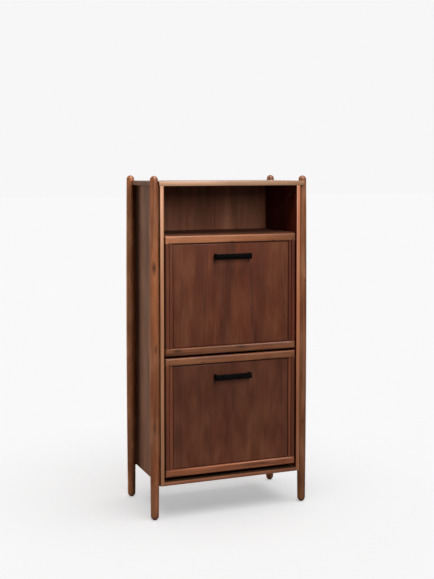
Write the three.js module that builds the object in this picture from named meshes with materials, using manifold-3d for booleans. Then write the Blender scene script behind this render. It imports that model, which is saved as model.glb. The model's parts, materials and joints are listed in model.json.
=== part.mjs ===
// Shoe cabinet: a tall, shallow case hung between four turned posts, with an open
// cubby above two compartments whose fronts tilt out, each carrying two shoe shelves.
// Millimetres. +X is the cabinet's right as seen from the front, -Y the front, +Z up.
// The origin is on the floor, below the centre of the cabinet.
import * as THREE from "three";
import { mergeVertices } from "three/addons/utils/BufferGeometryUtils.js";
import Module from "manifold-3d";

const wasm = await Module();
wasm.setup();

// ---------------------------------------------------------------- driving dimensions

const GAP = 0.3; // between pieces that touch
const BITE = 1; // how far joined solids run into each other, and cutters past a face
const FACETS = { thin: 8, pin: 12, round: 16, hole: 20 }; // sides of round parts
const ARC_STEPS = 4; // straight segments in each drawn arc

const POST = {
  height: 1200, // floor to tip, glide included
  spacingX: 567, // between axes
  spacingY: 280.6,
  topRadius: 13.7,
  footRadius: 14.2,
  bellyRadius: 17,
  bellyZ: 610,
  landWidth: 16, // flat strip along the inner side, against the side panel
  rings: 8,
  domeSteps: 4,
};
const GLIDE = { height: 3, topRadius: 8.4, floorRadius: 6.6 };

const CASE = {
  depth: 314.6,
  bottomZ: 119.5,
  topZ: 1181,
  sideThickness: 12.5,
  topThickness: 16,
  bottomThickness: 12,
  cubbyFloorZ: 994.5,
  shelfThickness: 16,
  shelfSetback: 21, // behind the case front, to clear the upper door
};
const BACK = { faceY: 118.7, thickness: 5, grooveDepth: 6 };

const DOOR = {
  width: 496,
  height: 417.5,
  thickness: 18,
  lowerZ: 147, // bottom edge of the lower door
  upperZ: 573.2, // bottom edge of the upper door
  outerRound: 5,
  stileWidth: 14, // the stiles stand between the rails
  topRailHeight: 25,
  bottomRailHeight: 26,
};
const PANEL = {
  grooveDepth: 5, // below the frame's face
  faceDepth: 1.5, // of the field and the beads, below the frame's face
  topGroove: 4.5, // width of the sunk line between the frame and the field
  bottomGroove: 3.5,
  sideGroove: 4, // between a bead and the field
  beadLine: 1.5, // between a stile and its bead
  beadWidth: 9.5,
  edgeRound: 1.5,
  backDepth: 12,
  tongue: 7, // how far the panel runs into the frame's groove
};
const HANDLE = {
  length: 136,
  height: 20,
  projection: 24, // in front of the frame's face
  barThickness: 7.5,
  footWidth: 8,
  belowTop: 74.5, // centre line below the door's top edge
  edgeChamfer: 1.2,
};
const HANDLE_SCREW = { radius: 2, headRadius: 4.2, headThickness: 2.4, bite: 12 };

const PIVOT = { rise: 50, behindDoor: 7.3, pinRadius: 3, bossRadius: 6 };
const STOP = { radius: 62, restAngle: 70, travel: 50 }; // degrees about the pivot
const BRACKET = {
  thickness: 2.5,
  doorOverlap: 2, // outer face inboard of the door's side edge
  flangeWidth: 12,
  flangeThickness: 1.8,
  legTop: 330,
  legBottom: -38,
  legWidth: 20,
  armRadius: 10,
  sectorRadius: 76,
  clearance: 0.4, // round each pin
};
const TIER = {
  slope: 20, // degrees, rising to the rear when the door is shut
  frontY: -1.5,
  lowerZ: -34,
  spacing: 176,
  boardLength: 230,
  boardThickness: 9,
  lipHeight: 40,
  lipThickness: 9,
};
const HINGE_PLATE = { thickness: 2, halfWidth: 10, headRadius: 4.6, headThickness: 1.4 };

const POST_BOLT = { radius: 3, headRadius: 7.5, headThickness: 3.4, pastAxis: 3 };
const POST_BOLT_HEIGHTS = { lower: 152, upper: 1148 };
const CAM = { radius: 7.5, depth: 9.5, z: 1131, frontY: -98, rearY: 84 };
const WALL_BRACKET = {
  width: 44,
  thickness: 2,
  drop: 40,
  standOff: 1, // behind the back panel
  holeRadius: 3,
  holeDrop: 24, // below the bracket's top
};

// ---------------------------------------------------------------- derived places

const frontY = -CASE.depth / 2;
const rearY = CASE.depth / 2;
const postX = POST.spacingX / 2;
const postY = POST.spacingY / 2;
const sideOuterX = postX - POST.bellyRadius;
const sideInnerX = sideOuterX - CASE.sideThickness;
const topUnderside = CASE.topZ - CASE.topThickness;
const bottomTopside = CASE.bottomZ + CASE.bottomThickness;
const pivotY = frontY + DOOR.thickness + PIVOT.behindDoor;
const radians = THREE.MathUtils.degToRad;

// ---------------------------------------------------------------- materials

const finish = (color, roughness, metalness = 0) =>
  new THREE.MeshStandardMaterial({ color, roughness, metalness });
const solidWood = finish(0x8a5539, 0.45);
const veneer = finish(0x66402f, 0.5);
const innerBoard = finish(0x5a3526, 0.6);
const blackMetal = finish(0x15161a, 0.4, 0.8);
const zincSteel = finish(0xa9abad, 0.35, 1);
const darkPlastic = finish(0x2a2320, 0.6);

// ---------------------------------------------------------------- solids from geometry

/** A closed geometry as a solid that can be joined and cut. */
function solidOf(geometry) {
  const bare = geometry.clone();
  bare.deleteAttribute("normal");
  bare.deleteAttribute("uv");
  const merged = mergeVertices(bare, 1e-4);
  return new wasm.Manifold(
    new wasm.Mesh({
      numProp: 3,
      vertProperties: merged.attributes.position.array,
      triVerts: new Uint32Array(merged.index.array),
    }),
  );
}

/** A solid back as a geometry, with flat faces. */
function geometryOf(solid) {
  const made = solid.getMesh();
  const indexed = new THREE.BufferGeometry()
    .setAttribute("position", new THREE.BufferAttribute(made.vertProperties, 3))
    .setIndex(new THREE.BufferAttribute(made.triVerts, 1));
  const flat = indexed.toNonIndexed();
  flat.computeVertexNormals();
  return flat;
}

/** A named mesh of one solid, added to a group. */
function addPiece(group, name, solid, material) {
  const piece = new THREE.Mesh(geometryOf(solid), material);
  piece.name = name;
  group.add(piece);
}

const joined = (solids) => solids.reduce((all, one) => all.add(one));
const cutBy = (solid, cutters) => cutters.reduce((left, one) => left.subtract(one), solid);

/** A box between two corners. */
function block([x0, y0, z0], [x1, y1, z1]) {
  const box = new THREE.BoxGeometry(x1 - x0, y1 - y0, z1 - z0);
  return solidOf(box.translate((x0 + x1) / 2, (y0 + y1) / 2, (z0 + z1) / 2));
}

/** A box between two distances from the middle plane, on the left (-1) or the right (1). */
function blockOn(side, nearX, farX, [y0, z0], [y1, z1]) {
  const [x0, x1] = side > 0 ? [nearX, farX] : [-farX, -nearX];
  return block([x0, y0, z0], [x1, y1, z1]);
}

/** A round bar along X between two X values, centred on (y, z). */
function barAlongX(x0, x1, y, z, radius, sides = FACETS.round) {
  const bar = new THREE.CylinderGeometry(radius, radius, Math.abs(x1 - x0), sides);
  return solidOf(bar.rotateZ(Math.PI / 2).translate((x0 + x1) / 2, y, z));
}

/** A round bar along Y between two Y values, centred on (x, z). */
function barAlongY(y0, y1, x, z, radius, sides = FACETS.round) {
  const bar = new THREE.CylinderGeometry(radius, radius, Math.abs(y1 - y0), sides);
  return solidOf(bar.translate(x, (y0 + y1) / 2, z));
}

/** An outline drawn in Y and Z, extruded along X between two X values. */
function sheetAcrossX(outline, x0, x1) {
  const sheet = new THREE.ExtrudeGeometry(outline, {
    depth: Math.abs(x1 - x0),
    bevelEnabled: false,
    curveSegments: ARC_STEPS,
  });
  const axes = new THREE.Matrix4().makeBasis(
    new THREE.Vector3(0, 1, 0),
    new THREE.Vector3(0, 0, 1),
    new THREE.Vector3(1, 0, 0),
  );
  return solidOf(sheet.applyMatrix4(axes).translate(Math.min(x0, x1), 0, 0));
}

/** A rectangle whose two corners on the low-x side are rounded; the other two are square. */
function softEdgedOutline(x0, x1, y0, y1, round) {
  const outline = new THREE.Shape();
  outline.moveTo(x1, y0);
  outline.lineTo(x1, y1);
  outline.lineTo(x0 + round, y1);
  outline.absarc(x0 + round, y1 - round, round, Math.PI / 2, Math.PI, false);
  outline.absarc(x0 + round, y0 + round, round, Math.PI, 1.5 * Math.PI, false);
  outline.closePath();
  return outline;
}

/** A slab in the X-Z plane whose four front edges are rounded. */
function softFrontSlab([x0, x1], [z0, z1], [slabFrontY, slabBackY], round) {
  const upright = sheetAcrossX(softEdgedOutline(slabFrontY, slabBackY, z0, z1, round), x0, x1);
  const plan = new THREE.ExtrudeGeometry(
    softEdgedOutline(slabFrontY, slabBackY, -x1, -x0, round),
    { depth: z1 - z0, bevelEnabled: false, curveSegments: ARC_STEPS },
  );
  // The outline's first axis becomes Y and its second -X.
  plan.rotateZ(Math.PI / 2).translate(0, 0, z0);
  return upright.intersect(solidOf(plan));
}

/** A strip with round ends between two points of the Y-Z plane. */
function stadium(y0, z0, y1, z1, radius) {
  const along = Math.atan2(z1 - z0, y1 - y0);
  const quarter = Math.PI / 2;
  const outline = new THREE.Shape();
  outline.absarc(y0, z0, radius, along + quarter, along + 3 * quarter, false);
  outline.absarc(y1, z1, radius, along - quarter, along + quarter, false);
  outline.closePath();
  return outline;
}

// ---------------------------------------------------------------- posts and glides

/** The post's radius at a height: a shallow parabola that swells to the belly. */
function postRadius(z) {
  const towardsTop = z > POST.bellyZ;
  const endRadius = towardsTop ? POST.topRadius : POST.footRadius;
  const reach = towardsTop ? POST.height - POST.bellyZ : POST.bellyZ;
  const share = (z - POST.bellyZ) / reach;
  return POST.bellyRadius - (POST.bellyRadius - endRadius) * share * share;
}

/** A spindle post about the Z axis, with a domed tip and a domed foot that ends on the glide. */
function spindle() {
  const profile = [new THREE.Vector2(0, GLIDE.height)];
  const footStart = Math.asin(1 - GLIDE.height / POST.footRadius);
  for (let i = 0; i <= POST.domeSteps; i++) {
    const angle = footStart * (1 - i / POST.domeSteps);
    const z = POST.footRadius * (1 - Math.sin(angle));
    profile.push(new THREE.Vector2(postRadius(z) * Math.cos(angle), z));
  }
  const straightTop = POST.height - POST.topRadius;
  for (let i = 1; i <= POST.rings; i++) {
    const z = POST.footRadius + ((straightTop - POST.footRadius) * i) / POST.rings;
    profile.push(new THREE.Vector2(postRadius(z), z));
  }
  for (let i = 1; i < POST.domeSteps; i++) {
    const angle = (Math.PI / 2) * (i / POST.domeSteps);
    const z = straightTop + POST.topRadius * Math.sin(angle);
    profile.push(new THREE.Vector2(postRadius(straightTop) * Math.cos(angle), z));
  }
  profile.push(new THREE.Vector2(0, POST.height));
  return solidOf(new THREE.LatheGeometry(profile, FACETS.round).rotateX(Math.PI / 2));
}

/** The nylon glide under a post. */
function glide() {
  const profile = [
    new THREE.Vector2(0, 0),
    new THREE.Vector2(GLIDE.floorRadius, 0),
    new THREE.Vector2(GLIDE.topRadius, GLIDE.height - GAP),
    new THREE.Vector2(0, GLIDE.height - GAP),
  ];
  return solidOf(new THREE.LatheGeometry(profile, FACETS.round).rotateX(Math.PI / 2));
}

const corners = [
  { name: "front_left", x: -1, y: -1 },
  { name: "front_right", x: 1, y: -1 },
  { name: "rear_left", x: -1, y: 1 },
  { name: "rear_right", x: 1, y: 1 },
];

/** The bolt's solid, or the hole for it when it is grown by a clearance. */
function postBolt(side, y, z, grow) {
  const head = sideInnerX + POST_BOLT.headThickness + grow;
  const tip = postX + POST_BOLT.pastAxis + grow;
  return joined([
    barAlongX(side * (sideInnerX - grow), side * head, y, z, POST_BOLT.headRadius + grow),
    barAlongX(side * (sideInnerX + BITE), side * tip, y, z, POST_BOLT.radius + grow, FACETS.thin),
  ]);
}

/** A post with a land that fills its taper, so that the whole side panel bears on a flat. */
function post(corner) {
  const y = corner.y * postY;
  const flatX = sideOuterX + GAP;
  const halfLand = POST.landWidth / 2;
  const land = blockOn(
    corner.x,
    flatX,
    postX,
    [y - halfLand, CASE.bottomZ],
    [y + halfLand, topUnderside - GAP],
  );
  const reach = POST.bellyRadius * 2;
  const beyondFlat = blockOn(corner.x, 0, flatX, [y - reach, 0], [y + reach, POST.height]);
  const holes = Object.values(POST_BOLT_HEIGHTS).map((z) => postBolt(corner.x, y, z, GAP));
  const turned = spindle().translate([corner.x * postX, y, 0]);
  return cutBy(turned.add(land), [beyondFlat, ...holes]);
}

function addPosts(group) {
  for (const corner of corners) {
    const x = corner.x * postX;
    const y = corner.y * postY;
    addPiece(group, "post_" + corner.name, post(corner), solidWood);
    addPiece(group, "glide_" + corner.name, glide().translate([x, y, 0]), darkPlastic);
    for (const [level, z] of Object.entries(POST_BOLT_HEIGHTS)) {
      const bolt = postBolt(corner.x, y, z, 0);
      addPiece(group, "post_bolt_" + corner.name + "_" + level, bolt, darkPlastic);
    }
  }
}

// ---------------------------------------------------------------- case

/** A quarter-turn lock in the side panel that draws the top panel down. */
function camLock(side, y, grow) {
  const faceX = side * (sideInnerX - grow);
  const deepX = side * (sideInnerX + CAM.depth + grow);
  return barAlongX(faceX, deepX, y, CAM.z, CAM.radius + grow);
}

function addSides(group) {
  const grooveX = sideInnerX + BACK.grooveDepth;
  for (const [name, side] of [["left", -1], ["right", 1]]) {
    const board = blockOn(
      side,
      sideInnerX,
      sideOuterX,
      [frontY, CASE.bottomZ],
      [rearY, topUnderside - GAP],
    );
    const groove = blockOn(
      side,
      sideInnerX - BITE,
      grooveX,
      [BACK.faceY - GAP, CASE.bottomZ - BITE],
      [BACK.faceY + BACK.thickness + GAP, topUnderside],
    );
    const locks = [CAM.frontY, CAM.rearY].map((y) => camLock(side, y, GAP));
    const bolts = [-postY, postY].flatMap((y) =>
      Object.values(POST_BOLT_HEIGHTS).map((z) => postBolt(side, y, z, GAP)),
    );
    const panel = cutBy(board, [groove, ...locks, ...bolts]);
    addPiece(group, "side_panel_" + name, panel, veneer);
    addPiece(group, "cam_lock_" + name + "_front", camLock(side, CAM.frontY, 0), zincSteel);
    addPiece(group, "cam_lock_" + name + "_rear", camLock(side, CAM.rearY, 0), zincSteel);
  }
}

/** The top panel reaches the posts' axes, with a notch round each post. */
function topPanel() {
  const board = block([-postX, frontY, topUnderside], [postX, rearY, CASE.topZ]);
  const notchRadius = postRadius(topUnderside) + GAP;
  const halfCut = CASE.topThickness + BITE;
  const notches = corners.map((corner) => {
    const x = corner.x * postX;
    const y = corner.y * postY;
    const round = new THREE.CylinderGeometry(notchRadius, notchRadius, 2 * halfCut, FACETS.round);
    const hole = solidOf(round.rotateX(Math.PI / 2).translate(x, y, CASE.topZ));
    const reach = notchRadius * 2;
    const open = block([-notchRadius, 0, -halfCut], [reach, reach, halfCut])
      .mirror(corner.x > 0 ? [0, 0, 0] : [1, 0, 0])
      .mirror(corner.y > 0 ? [0, 0, 0] : [0, 1, 0])
      .translate([x, y, CASE.topZ]);
    return hole.add(open);
  });
  return cutBy(board, notches);
}

function addBoards(group) {
  const innerX = sideInnerX - GAP;
  const behind = BACK.faceY - GAP;
  addPiece(group, "top_panel", topPanel(), veneer);
  addPiece(
    group,
    "bottom_panel",
    block([-innerX, frontY, CASE.bottomZ], [innerX, behind, bottomTopside]),
    veneer,
  );
  addPiece(
    group,
    "cubby_shelf",
    block(
      [-innerX, frontY + CASE.shelfSetback, CASE.cubbyFloorZ - CASE.shelfThickness],
      [innerX, behind, CASE.cubbyFloorZ],
    ),
    veneer,
  );
  const backX = sideInnerX + BACK.grooveDepth - GAP;
  addPiece(
    group,
    "back_panel",
    block(
      [-backX, BACK.faceY, CASE.bottomZ],
      [backX, BACK.faceY + BACK.thickness, topUnderside - GAP],
    ),
    veneer,
  );
}

/** The steel angle behind the back panel that ties the cabinet to a wall. */
function addWallBracket(group) {
  const half = WALL_BRACKET.width / 2;
  const topZ = topUnderside - GAP;
  const nearY = BACK.faceY + BACK.thickness + WALL_BRACKET.standOff;
  const wallLeg = rearY - WALL_BRACKET.thickness;
  const bracket = joined([
    block([-half, nearY, topZ - WALL_BRACKET.thickness], [half, rearY, topZ]),
    block([-half, wallLeg, topZ - WALL_BRACKET.drop], [half, rearY, topZ]),
  ]);
  const radius = WALL_BRACKET.holeRadius;
  const wallHoleZ = topZ - WALL_BRACKET.holeDrop;
  const wallHole = barAlongY(wallLeg - BITE, rearY + BITE, 0, wallHoleZ, radius, FACETS.hole);
  const upward = new THREE.CylinderGeometry(
    radius,
    radius,
    2 * (WALL_BRACKET.thickness + BITE),
    FACETS.hole,
  );
  const topHole = solidOf(upward.rotateX(Math.PI / 2).translate(0, (nearY + wallLeg) / 2, topZ));
  addPiece(group, "wall_bracket", cutBy(bracket, [wallHole, topHole]), zincSteel);
}

/** The plate on each side panel that holds a door's pivot pin and its stop pin. */
function hingePlate(side) {
  const wallX = side * (sideInnerX - GAP);
  const faceX = wallX - side * HINGE_PLATE.thickness;
  const bracketOuter = DOOR.width / 2 - BRACKET.doorOverlap;
  const bossX = side * (bracketOuter + GAP);
  const headX = side * (bracketOuter - BRACKET.thickness - GAP);
  const tipX = headX - side * HINGE_PLATE.headThickness;
  const stopY = STOP.radius * Math.cos(radians(STOP.restAngle));
  const stopZ = STOP.radius * Math.sin(radians(STOP.restAngle));
  const plate = sheetAcrossX(
    stadium(0, 0, stopY, stopZ, HINGE_PLATE.halfWidth),
    wallX,
    faceX,
  );
  const pins = [[0, 0], [stopY, stopZ]].flatMap(([y, z]) => [
    barAlongX(faceX + side * BITE, bossX, y, z, PIVOT.bossRadius),
    barAlongX(bossX + side * BITE, tipX, y, z, PIVOT.pinRadius, FACETS.pin),
    barAlongX(headX, tipX, y, z, HINGE_PLATE.headRadius),
  ]);
  return joined([plate, ...pins]);
}

// ---------------------------------------------------------------- tilt-out doors

// A door is drawn about its pivot axis: y and z are measured from the pivot.
const doorFront = -PIVOT.behindDoor - DOOR.thickness;
const doorBack = -PIVOT.behindDoor;
const doorBottom = -PIVOT.rise;
const doorTop = DOOR.height - PIVOT.rise;
const doorHalf = DOOR.width / 2;

// The opening that the frame leaves for the panel, and the panel's depths.
const railHalf = doorHalf - DOOR.stileWidth;
const openTop = doorTop - DOOR.topRailHeight;
const openBottom = doorBottom + DOOR.bottomRailHeight;
const grooveFloor = doorFront + PANEL.grooveDepth;
const panelFace = doorFront + PANEL.faceDepth;
const panelBack = doorFront + PANEL.backDepth;

/** The frame's four members, each cut from one slab with rounded front edges. */
function addDoorFrame(group, prefix) {
  const slab = softFrontSlab(
    [-doorHalf, doorHalf],
    [doorBottom, doorTop],
    [doorFront, doorBack],
    DOOR.outerRound,
  );
  const reach = DOOR.height;
  const grooveReach = PANEL.tongue + GAP;
  const groove = block(
    [-railHalf - grooveReach, grooveFloor - GAP, openBottom - grooveReach],
    [railHalf + grooveReach, panelBack + GAP, openTop + grooveReach],
  );
  const members = {
    stile_left: [[-reach, -reach, openBottom + GAP], [-railHalf, reach, openTop - GAP]],
    stile_right: [[railHalf, -reach, openBottom + GAP], [reach, reach, openTop - GAP]],
    top_rail: [[-reach, -reach, openTop], [reach, reach, reach]],
    bottom_rail: [[-reach, -reach, -reach], [reach, reach, openBottom]],
  };
  for (const [name, [low, high]] of Object.entries(members)) {
    const member = slab.intersect(block(low, high)).subtract(groove);
    addPiece(group, prefix + "_" + name, member, solidWood);
  }
}

/** The panel: a raised field and, beside each stile, a bead, with sunk lines round them. */
function doorPanel() {
  const base = block(
    [-railHalf - PANEL.tongue, grooveFloor, openBottom - PANEL.tongue],
    [railHalf + PANEL.tongue, panelBack, openTop + PANEL.tongue],
  );
  const beadOuter = railHalf - PANEL.beadLine;
  const beadInner = beadOuter - PANEL.beadWidth;
  const fieldHalf = beadInner - PANEL.sideGroove;
  const upright = [openBottom + PANEL.bottomGroove, openTop - PANEL.topGroove];
  const depth = [panelFace, grooveFloor + BITE];
  const raised = [
    [-fieldHalf, fieldHalf],
    [-beadOuter, -beadInner],
    [beadInner, beadOuter],
  ];
  return joined([
    base,
    ...raised.map((across) => softFrontSlab(across, upright, depth, PANEL.edgeRound)),
  ]);
}

const handleZ = doorTop - HANDLE.belowTop;
const handleScrewX = (HANDLE.length - HANDLE.footWidth) / 2;

/** A flat bar bent back at both ends into feet. */
function handleBar() {
  const half = HANDLE.length / 2;
  const innerHalf = half - HANDLE.footWidth;
  const barFront = doorFront - HANDLE.projection;
  const barBack = barFront + HANDLE.barThickness;
  const footBack = panelFace - GAP;
  const outline = new THREE.Shape();
  outline.moveTo(HANDLE.edgeChamfer - half, barFront);
  outline.lineTo(half - HANDLE.edgeChamfer, barFront);
  outline.lineTo(half, barFront + HANDLE.edgeChamfer);
  outline.lineTo(half, footBack);
  outline.lineTo(innerHalf, footBack);
  outline.lineTo(innerHalf, barBack);
  outline.lineTo(-innerHalf, barBack);
  outline.lineTo(-innerHalf, footBack);
  outline.lineTo(-half, footBack);
  outline.lineTo(-half, barFront + HANDLE.edgeChamfer);
  outline.closePath();
  const plan = new THREE.ExtrudeGeometry(outline, {
    depth: HANDLE.height,
    bevelEnabled: false,
  });
  return solidOf(plan.translate(0, 0, handleZ - HANDLE.height / 2));
}

/** The machine screw through the panel into a handle foot, or its hole. */
function handleScrew(x, grow) {
  const tip = panelFace - HANDLE_SCREW.bite - grow;
  const headFront = panelBack + GAP;
  const headBack = headFront + HANDLE_SCREW.headThickness;
  return joined([
    barAlongY(tip, headBack - BITE, x, handleZ, HANDLE_SCREW.radius + grow, FACETS.thin),
    barAlongY(headFront, headBack, x, handleZ, HANDLE_SCREW.headRadius + grow, FACETS.pin),
  ]);
}

/** The steel side bracket: leg, two arms, and a sector with the slot for the stop pin. */
function sideBracket(side) {
  const outerX = side * (doorHalf - BRACKET.doorOverlap);
  const innerX = outerX - side * BRACKET.thickness;
  const flangeFront = doorBack + GAP;
  const flangeBack = flangeFront + BRACKET.flangeThickness;
  const legBack = flangeFront + BRACKET.legWidth;
  const sheet = (outline) => sheetAcrossX(outline, outerX, innerX);

  const leg = new THREE.Shape();
  leg.moveTo(flangeFront, BRACKET.legBottom);
  leg.lineTo(legBack, BRACKET.legBottom);
  leg.lineTo(legBack, BRACKET.legTop);
  leg.lineTo(flangeFront, BRACKET.legTop);
  leg.closePath();

  const armStart = flangeFront + BRACKET.armRadius;
  const arms = [0, 1].map((tier) => {
    const slope = radians(TIER.slope);
    const alongStart = armStart - TIER.frontY;
    const lift = TIER.lowerZ + TIER.spacing * tier + TIER.boardThickness / 2;
    const alongEnd = (TIER.boardLength - BRACKET.armRadius) * Math.cos(slope);
    return stadium(
      armStart, lift + alongStart * Math.tan(slope),
      TIER.frontY + alongEnd, lift + alongEnd * Math.tan(slope),
      BRACKET.armRadius,
    );
  });

  const sector = new THREE.Shape();
  sector.moveTo(0, 0);
  sector.lineTo(BRACKET.sectorRadius, 0);
  sector.absarc(0, 0, BRACKET.sectorRadius, 0, Math.PI / 2, false);
  sector.closePath();

  const slotEnd = radians(STOP.restAngle);
  const slotStart = slotEnd - radians(STOP.travel);
  const halfSlot = PIVOT.pinRadius + BRACKET.clearance;
  const slot = new THREE.Shape();
  const endOf = (angle) => [STOP.radius * Math.cos(angle), STOP.radius * Math.sin(angle)];
  slot.absarc(0, 0, STOP.radius + halfSlot, slotStart, slotEnd, false);
  slot.absarc(...endOf(slotEnd), halfSlot, slotEnd, slotEnd + Math.PI, false);
  slot.absarc(0, 0, STOP.radius - halfSlot, slotEnd, slotStart, true);
  slot.absarc(...endOf(slotStart), halfSlot, slotStart + Math.PI, slotStart + 2 * Math.PI, false);
  slot.closePath();

  const flange = blockOn(
    side,
    doorHalf - BRACKET.doorOverlap - BRACKET.flangeWidth,
    doorHalf - BRACKET.doorOverlap,
    [flangeFront, BRACKET.legBottom],
    [flangeBack, BRACKET.legTop],
  );
  const body = joined([sheet(leg), ...arms.map(sheet), sheet(sector), flange]);
  const slotCut = sheetAcrossX(slot, outerX + side, innerX - side);
  const pivotHole = barAlongX(
    outerX + side, innerX - side, 0, 0, PIVOT.pinRadius + BRACKET.clearance, FACETS.pin,
  );
  return cutBy(body, [slotCut, pivotHole]);
}

/** One shoe shelf between the brackets, with an upright lip along its rear edge. */
function addTier(group, prefix, name, tier) {
  const half = doorHalf - BRACKET.doorOverlap - BRACKET.thickness - GAP;
  const turned = new THREE.Group();
  turned.position.set(0, TIER.frontY, TIER.lowerZ + TIER.spacing * tier);
  turned.rotation.x = radians(TIER.slope);
  const lipFront = TIER.boardLength - TIER.lipThickness;
  const board = block([-half, 0, 0], [half, TIER.boardLength, TIER.boardThickness]);
  const lip = block(
    [-half, lipFront, TIER.boardThickness + GAP],
    [half, TIER.boardLength, TIER.lipHeight],
  );
  addPiece(turned, prefix + "_" + name + "_shelf", board, innerBoard);
  addPiece(turned, prefix + "_" + name + "_shelf_lip", lip, innerBoard);
  group.add(turned);
}

function addDoor(root, prefix, bottomZ) {
  const door = new THREE.Group();
  door.position.set(0, pivotY, bottomZ + PIVOT.rise);
  addDoorFrame(door, prefix);
  const screws = [["left", -handleScrewX], ["right", handleScrewX]];
  const holes = screws.map(([, x]) => handleScrew(x, GAP));
  addPiece(door, prefix + "_door_panel", cutBy(doorPanel(), holes), veneer);
  addPiece(door, prefix + "_handle", cutBy(handleBar(), holes), blackMetal);
  for (const [name, x] of screws) {
    addPiece(door, prefix + "_handle_screw_" + name, handleScrew(x, 0), zincSteel);
  }
  addPiece(door, prefix + "_bracket_left", sideBracket(-1), blackMetal);
  addPiece(door, prefix + "_bracket_right", sideBracket(1), blackMetal);
  addTier(door, prefix, "low", 0);
  addTier(door, prefix, "high", 1);

  const plates = new THREE.Group();
  plates.position.copy(door.position);
  addPiece(plates, prefix + "_hinge_plate_left", hingePlate(-1), zincSteel);
  addPiece(plates, prefix + "_hinge_plate_right", hingePlate(1), zincSteel);
  root.add(door, plates);
}

// ---------------------------------------------------------------- assembly

const cabinet = new THREE.Group();
// The handles reach out in front, so the middle of the whole object lies ahead of the case's.
cabinet.position.y = HANDLE.projection / 2;
addPosts(cabinet);
addSides(cabinet);
addBoards(cabinet);
addWallBracket(cabinet);
addDoor(cabinet, "upper", DOOR.upperZ);
addDoor(cabinet, "lower", DOOR.lowerZ);

export default cabinet;
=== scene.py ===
"""Looks of the shoe cabinet: turned posts, framed doors with fielded panels, black bar handles."""

import json
import math

import bmesh
import bpy
from mathutils import Matrix, Vector


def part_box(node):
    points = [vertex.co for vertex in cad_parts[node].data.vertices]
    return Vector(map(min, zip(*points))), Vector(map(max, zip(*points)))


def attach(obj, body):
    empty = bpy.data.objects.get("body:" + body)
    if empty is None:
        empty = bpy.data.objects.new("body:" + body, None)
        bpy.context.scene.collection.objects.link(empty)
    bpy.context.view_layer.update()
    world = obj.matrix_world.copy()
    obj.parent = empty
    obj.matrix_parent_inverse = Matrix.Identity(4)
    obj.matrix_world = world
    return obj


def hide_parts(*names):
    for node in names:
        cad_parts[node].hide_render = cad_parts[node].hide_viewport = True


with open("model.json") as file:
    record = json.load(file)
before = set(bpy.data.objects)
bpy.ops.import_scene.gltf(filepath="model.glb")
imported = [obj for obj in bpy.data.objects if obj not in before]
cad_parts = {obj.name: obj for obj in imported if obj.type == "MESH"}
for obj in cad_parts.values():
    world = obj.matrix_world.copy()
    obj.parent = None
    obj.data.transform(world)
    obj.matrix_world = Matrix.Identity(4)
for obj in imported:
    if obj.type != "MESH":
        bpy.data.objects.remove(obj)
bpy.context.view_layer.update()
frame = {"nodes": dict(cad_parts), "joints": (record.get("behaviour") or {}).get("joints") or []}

MM = 0.001

# ---------------------------------------------------------------- driving dimensions

POST_TOP_RADIUS = 13.7 * MM
POST_FOOT_RADIUS = 14.2 * MM
POST_BELLY_Z = 610 * MM
POST_SHRINK = 0.15 * MM  # the turned posts are this much slimmer than their CAD solids
POST_LAND_HALF_WIDTH = 8 * MM  # of the flat that lies against the side panel
POST_LAND_STEP = 0.05 * MM  # the height over which that flat gives way to the round
POST_RING_SPACING = 25 * MM
POST_DOME_STEPS = 10
POST_SIDES = 64
LIPPING_THICKNESS = 1.5 * MM

DOOR_OUTER_ROUND = 5 * MM
STILE_INNER_ROUND = 2 * MM
TOP_RAIL_INNER_ROUND = 2.5 * MM
BOTTOM_RAIL_INNER_ROUND = 6 * MM
FRAME_ROUND_STEPS = 6
STILE_ROUND_STEPS = 3  # of the stiles' inner edges
GROOVE_DEPTH = 5 * MM  # below the frame's face
FACE_DEPTH = 1.5 * MM  # of the field and the beads, below the frame's face
TOP_GROOVE = 4.5 * MM
BOTTOM_GROOVE = 3.5 * MM
SIDE_GROOVE = 4 * MM
BEAD_LINE = 1.5 * MM
BEAD_WIDTH = 9.5 * MM
PANEL_ROUND = 1.5 * MM
PANEL_BACK_DEPTH = 12 * MM
FIELD_ROUND_STEPS = 5
BEAD_ROUND_STEPS = 4
TOUCH = 0.1 * MM  # between pieces that meet

SCREW_HEAD_RADIUS = 3.2 * MM
SCREW_HEAD_HEIGHT = 1.4 * MM
HANDLE_SCREW_HEAD_RADIUS = 4.2 * MM
HANDLE_SCREW_HEAD_HEIGHT = 2.4 * MM
SCREW_RIM = 0.25  # of the head's height
SCREW_UNDERSIDE = 0.92  # of the head's radius
SCREW_RECESS_DEPTH = 0.6  # of the head's height
SCREW_RECESS_START = 0.3  # of the head's height; nothing below is sunk
# Where the recess starts to grow shallow and where it ends, as shares of the head's radius.
SCREW_RECESS_ARM = (0.098, 0.224)  # across an arm of the cross
SCREW_RECESS_REACH = (0.435, 0.58)  # along an arm
SCREW_DOME_STEPS = 14
SCREW_SIDES = 48
FLANGE_SCREW_HEIGHTS = (45 * MM, 105 * MM, 215 * MM, 315 * MM)  # above the pivot
FLANGE_SCREW_INSET = 7.2 * MM  # from the bracket's outer face
FLANGE_BACK = -5.2 * MM  # Y of the flange's rear face, from the pivot
PLATE_SCREWS = ((7.6 * MM, 21 * MM), (13.6 * MM, 37.3 * MM))  # Y and Z from the pivot
HINGE_PLATE_THICKNESS = 2 * MM
SHELF_SLOPE = math.radians(20)
SHELF_SPACING = 176 * MM
SHELF_SCREW_REACHES = (60 * MM, 130 * MM, 190 * MM)  # Y from the pivot
SHELF_SCREW_START = -29 * MM  # the lower row's height above the pivot, where Y is 0

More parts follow.
